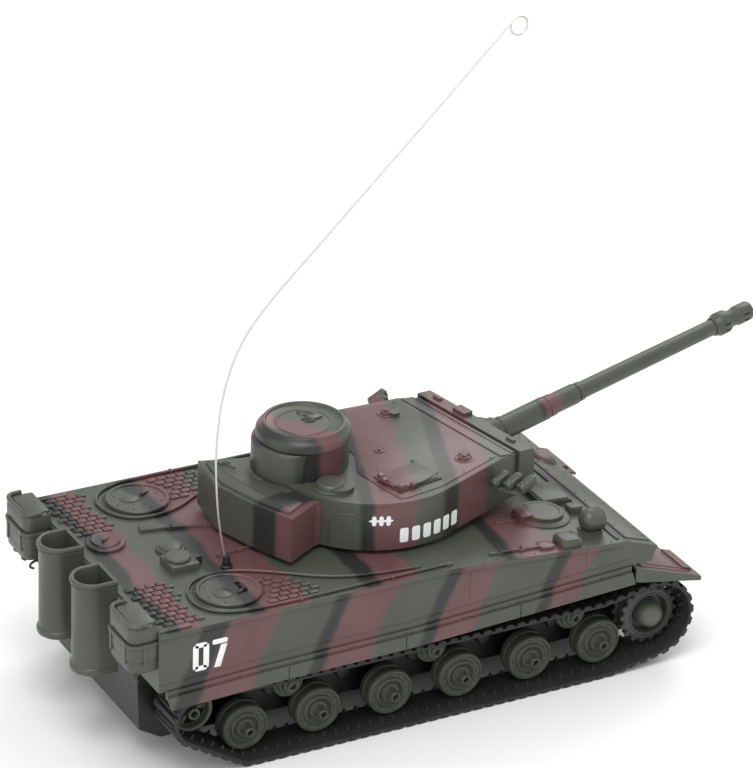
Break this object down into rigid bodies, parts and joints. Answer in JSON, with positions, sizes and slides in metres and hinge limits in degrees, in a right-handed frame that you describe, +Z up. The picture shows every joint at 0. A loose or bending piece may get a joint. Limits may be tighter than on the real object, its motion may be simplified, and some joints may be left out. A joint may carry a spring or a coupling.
{
  "type": "radio-controlled model tank",
  "caption": "Radio-controlled scale model battle tank with turning turret, elevating gun, driven tracks on steel stub axles, tall exhaust shrouds, skirts and a bowed wire antenna.",
  "frame": {"origin": "on the ground, under the middle of the outline that reaches from the exhaust shrouds to the muzzle and over both skirts", "axes": "+X forward, +Y to the tank's left, +Z up"},
  "size_m": [0.3725, 0.136, 0.3041],
  "materials": {
    "camo_green": "airbrushed green, dark grey and red-brown camouflage, matte",
    "chassis_black": "black moulded plastic, satin matte",
    "gear_black": "dark grey moulded plastic, satin",
    "wheel_green": "dark grey-green moulded plastic, satin",
    "track_rubber": "soft dark grey rubber, matte",
    "steel": "drawn steel wire and pins",
    "brass": "machined brass",
    "motor_can": "plated motor can",
    "gearbox_plastic": "natural white plastic",
    "board_green": "solder-masked board",
    "battery_wrap": "shrink film",
    "switch_black": "black moulded plastic"
  },
  "bodies": {
    "hull": {"air_filter_left": "camo_green", "air_filter_right": "camo_green", "antenna": "steel", "axle_pins": "steel", "battery_door": "chassis_black", "battery_pack": "battery_wrap", "circuit_board": "board_green", "deck_tools": "camo_green", "drive_motors": "motor_can", "exhaust_left": "camo_green", "exhaust_right": "camo_green", "fender_left": "camo_green", "fender_right": "camo_green", "gearbox": "gearbox_plastic", "headlight": "camo_green", "hull_screws": "steel", "lower_hull": "chassis_black", "skirt_left": "camo_green", "skirt_right": "camo_green", "tow_cable": "camo_green", "track_left": "track_rubber", "track_right": "track_rubber", "upper_hull": "camo_green"},
    "turret": {"turret_shell": "camo_green", "turret_ring": "camo_green", "cupola": "camo_green", "stowage_bin": "camo_green", "smoke_launchers": "camo_green", "mantlet": "camo_green"},
    "gun": {"gun_barrel": "camo_green", "muzzle_brake": "camo_green"},
    "switch": {"switch_knob": "switch_black"},
    "drive_left": {"sprocket_left": "gear_black", "drive_shaft_left": "steel"},
    "pinion_left": {"motor_pinion_left": "brass"},
    "idler_left": {"idler_left": "gear_black"},
    "wheel_left_1": {"road_wheel_left_1": "wheel_green"},
    "wheel_left_2": {"road_wheel_left_2": "wheel_green"},
    "wheel_left_3": {"road_wheel_left_3": "wheel_green"},
    "wheel_left_4": {"road_wheel_left_4": "wheel_green"},
    "wheel_left_5": {"road_wheel_left_5": "wheel_green"},
    "wheel_left_6": {"road_wheel_left_6": "wheel_green"},
    "roller_left_1": {"return_roller_left_1": "wheel_green"},
    "roller_left_2": {"return_roller_left_2": "wheel_green"},
    "roller_left_3": {"return_roller_left_3": "wheel_green"},
    "drive_right": {"sprocket_right": "gear_black", "drive_shaft_right": "steel"},
    "pinion_right": {"motor_pinion_right": "brass"},
    "idler_right": {"idler_right": "gear_black"},
    "wheel_right_1": {"road_wheel_right_1": "wheel_green"},
    "wheel_right_2": {"road_wheel_right_2": "wheel_green"},
    "wheel_right_3": {"road_wheel_right_3": "wheel_green"},
    "wheel_right_4": {"road_wheel_right_4": "wheel_green"},
    "wheel_right_5": {"road_wheel_right_5": "wheel_green"},
    "wheel_right_6": {"road_wheel_right_6": "wheel_green"},
    "roller_right_1": {"return_roller_right_1": "wheel_green"},
    "roller_right_2": {"return_roller_right_2": "wheel_green"},
    "roller_right_3": {"return_roller_right_3": "wheel_green"}
  },
  "joints": [
    {"name": "turret_yaw", "type": "hinge", "parent": "hull", "child": "turret", "pos_m": [-0.03777, 0, 0.0766], "axis": [0, 0, 1], "range_deg": [-156, 134]},
    {"name": "gun_elevate", "type": "hinge", "parent": "turret", "child": "gun", "pos_m": [0.02261, 0.0117, 0.08753], "axis": [0.1903, -0.9817, 0], "range_deg": [-6.8, 8.2]},
    {"name": "power_switch", "type": "slide", "parent": "hull", "child": "switch", "axis": [0, 1, 0], "range_m": [0, 0.004]},
    {"name": "drive_left", "type": "hinge", "parent": "hull", "child": "drive_left", "pos_m": [0.0763, 0.05, 0.0226], "axis": [0, 1, 0], "continuous": true},
    {"name": "pinion_left_spin", "type": "hinge", "parent": "hull", "child": "pinion_left", "pos_m": [0.0678, 0.032, 0.0226], "axis": [0, 1, 0], "continuous": true},
    {"name": "idler_left_spin", "type": "hinge", "parent": "hull", "child": "idler_left", "pos_m": [-0.1482, 0.052, 0.028], "axis": [0, 1, 0], "continuous": true},
    {"name": "wheel_left_1_spin", "type": "hinge", "parent": "hull", "child": "wheel_left_1", "pos_m": [-0.1227, 0.052, 0.0137], "axis": [0, 1, 0], "continuous": true},
    {"name": "wheel_left_2_spin", "type": "hinge", "parent": "hull", "child": "wheel_left_2", "pos_m": [-0.08788, 0.052, 0.0137], "axis": [0, 1, 0], "continuous": true},
    {"name": "wheel_left_3_spin", "type": "hinge", "parent": "hull", "child": "wheel_left_3", "pos_m": [-0.05306, 0.052, 0.0137], "axis": [0, 1, 0], "continuous": true},
    {"name": "wheel_left_4_spin", "type": "hinge", "parent": "hull", "child": "wheel_left_4", "pos_m": [-0.01824, 0.052, 0.0137], "axis": [0, 1, 0], "continuous": true},
    {"name": "wheel_left_5_spin", "type": "hinge", "parent": "hull", "child": "wheel_left_5", "pos_m": [0.01658, 0.052, 0.0137], "axis": [0, 1, 0], "continuous": true},
    {"name": "wheel_left_6_spin", "type": "hinge", "parent": "hull", "child": "wheel_left_6", "pos_m": [0.0514, 0.052, 0.0137], "axis": [0, 1, 0], "continuous": true},
    {"name": "roller_left_1_spin", "type": "hinge", "parent": "hull", "child": "roller_left_1", "pos_m": [-0.1009, 0.052, 0.0289], "axis": [0, 1, 0], "continuous": true},
    {"name": "roller_left_2_spin", "type": "hinge", "parent": "hull", "child": "roller_left_2", "pos_m": [-0.03126, 0.052, 0.0289], "axis": [0, 1, 0], "continuous": true},
    {"name": "roller_left_3_spin", "type": "hinge", "parent": "hull", "child": "roller_left_3", "pos_m": [0.03838, 0.052, 0.0289], "axis": [0, 1, 0], "continuous": true},
    {"name": "drive_right", "type": "hinge", "parent": "hull", "child": "drive_right", "pos_m": [0.0763, -0.05, 0.0226], "axis": [0, 1, 0], "continuous": true},
    {"name": "pinion_right_spin", "type": "hinge", "parent": "hull", "child": "pinion_right", "pos_m": [0.0678, -0.032, 0.0226], "axis": [0, 1, 0], "continuous": true},
    {"name": "idler_right_spin", "type": "hinge", "parent": "hull", "child": "idler_right", "pos_m": [-0.1482, -0.052, 0.028], "axis": [0, 1, 0], "continuous": true},
    {"name": "wheel_right_1_spin", "type": "hinge", "parent": "hull", "child": "wheel_right_1", "pos_m": [-0.1227, -0.052, 0.0137], "axis": [0, 1, 0], "continuous": true},
    {"name": "wheel_right_2_spin", "type": "hinge", "parent": "hull", "child": "wheel_right_2", "pos_m": [-0.08788, -0.052, 0.0137], "axis": [0, 1, 0], "continuous": true},
    {"name": "wheel_right_3_spin", "type": "hinge", "parent": "hull", "child": "wheel_right_3", "pos_m": [-0.05306, -0.052, 0.0137], "axis": [0, 1, 0], "continuous": true},
    {"name": "wheel_right_4_spin", "type": "hinge", "parent": "hull", "child": "wheel_right_4", "pos_m": [-0.01824, -0.052, 0.0137], "axis": [0, 1, 0], "continuous": true},
    {"name": "wheel_right_5_spin", "type": "hinge", "parent": "hull", "child": "wheel_right_5", "pos_m": [0.01658, -0.052, 0.0137], "axis": [0, 1, 0], "continuous": true},
    {"name": "wheel_right_6_spin", "type": "hinge", "parent": "hull", "child": "wheel_right_6", "pos_m": [0.0514, -0.052, 0.0137], "axis": [0, 1, 0], "continuous": true},
    {"name": "roller_right_1_spin", "type": "hinge", "parent": "hull", "child": "roller_right_1", "pos_m": [-0.1009, -0.052, 0.0289], "axis": [0, 1, 0], "continuous": true},
    {"name": "roller_right_2_spin", "type": "hinge", "parent": "hull", "child": "roller_right_2", "pos_m": [-0.03126, -0.052, 0.0289], "axis": [0, 1, 0], "continuous": true},
    {"name": "roller_right_3_spin", "type": "hinge", "parent": "hull", "child": "roller_right_3", "pos_m": [0.03838, -0.052, 0.0289], "axis": [0, 1, 0], "continuous": true}
  ],
  "couplings": [
    {"joint": "pinion_left_spin", "follows": "drive_left", "ratio": -2.4},
    {"joint": "idler_left_spin", "follows": "drive_left", "ratio": 1.5052},
    {"joint": "wheel_left_1_spin", "follows": "drive_left", "ratio": 1.3607},
    {"joint": "wheel_left_2_spin", "follows": "drive_left", "ratio": 1.3607},
    {"joint": "wheel_left_3_spin", "follows": "drive_left", "ratio": 1.3607},
    {"joint": "wheel_left_4_spin", "follows": "drive_left", "ratio": 1.3607},
    {"joint": "wheel_left_5_spin", "follows": "drive_left", "ratio": 1.3607},
    {"joint": "wheel_left_6_spin", "follows": "drive_left", "ratio": 1.3607},
    {"joint": "roller_left_1_spin", "follows": "drive_left", "ratio": 2.0278},
    {"joint": "roller_left_2_spin", "follows": "drive_left", "ratio": 2.0278},
    {"joint": "roller_left_3_spin", "follows": "drive_left", "ratio": 2.0278},
    {"joint": "pinion_right_spin", "follows": "drive_right", "ratio": -2.4},
    {"joint": "idler_right_spin", "follows": "drive_right", "ratio": 1.5052},
    {"joint": "wheel_right_1_spin", "follows": "drive_right", "ratio": 1.3607},
    {"joint": "wheel_right_2_spin", "follows": "drive_right", "ratio": 1.3607},
    {"joint": "wheel_right_3_spin", "follows": "drive_right", "ratio": 1.3607},
    {"joint": "wheel_right_4_spin", "follows": "drive_right", "ratio": 1.3607},
    {"joint": "wheel_right_5_spin", "follows": "drive_right", "ratio": 1.3607},
    {"joint": "wheel_right_6_spin", "follows": "drive_right", "ratio": 1.3607},
    {"joint": "roller_right_1_spin", "follows": "drive_right", "ratio": 2.0278},
    {"joint": "roller_right_2_spin", "follows": "drive_right", "ratio": 2.0278},
    {"joint": "roller_right_3_spin", "follows": "drive_right", "ratio": 2.0278}
  ]
}
